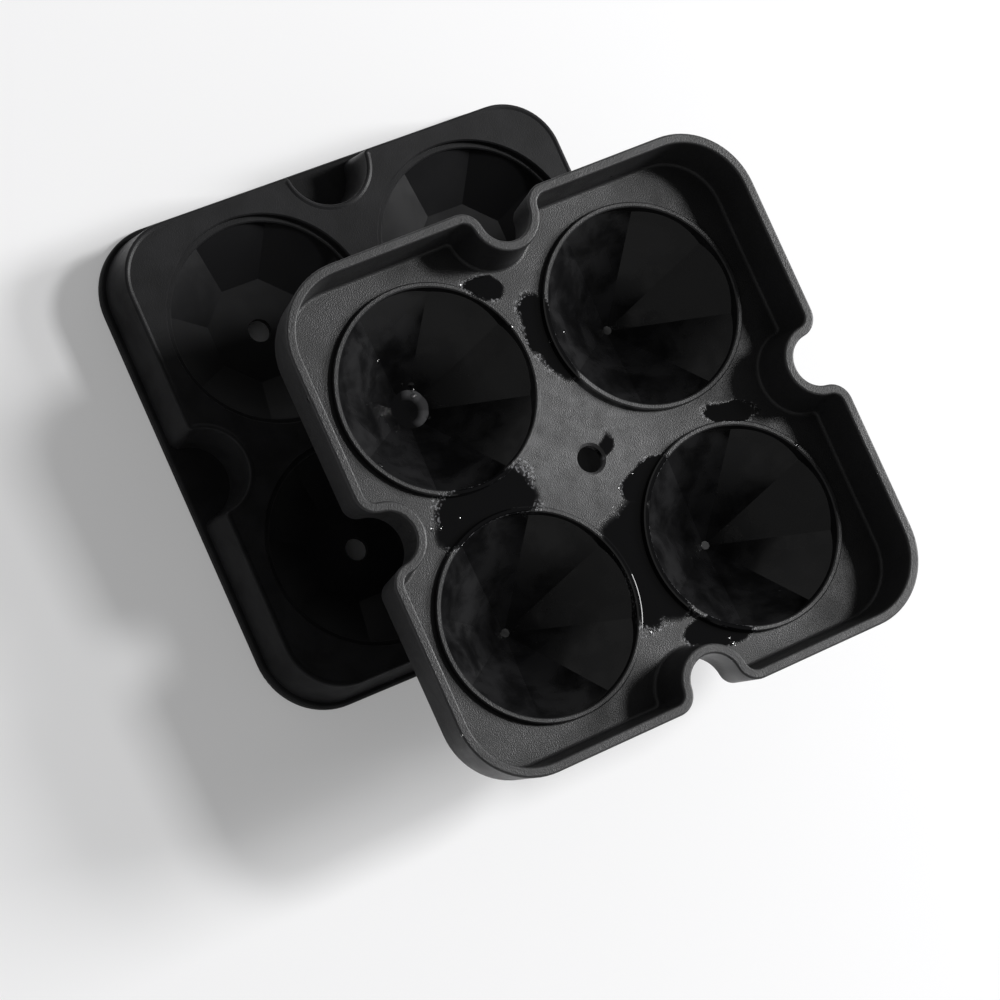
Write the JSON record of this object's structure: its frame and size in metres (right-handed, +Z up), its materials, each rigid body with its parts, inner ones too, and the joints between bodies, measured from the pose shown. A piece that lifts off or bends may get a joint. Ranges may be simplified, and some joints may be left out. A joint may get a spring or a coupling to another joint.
{
  "type": "diamond ice mold",
  "caption": "Square black silicone ice mould: a walled tray with faceted diamond cups, standing on its upturned plug lid.",
  "frame": {"origin": "middle of the base of the box round both pieces, on the surface that the lid lies on", "axes": "+Z up; X and Y run along the lid's sides, with the tray set over towards +X and -Y"},
  "size_m": [0.1443, 0.1571, 0.0536],
  "materials": {
    "tray_silicone": "satin",
    "lid_silicone": "satin"
  },
  "bodies": {
    "root": {"tray": "tray_silicone", "lid": "lid_silicone"}
  },
  "joints": []
}
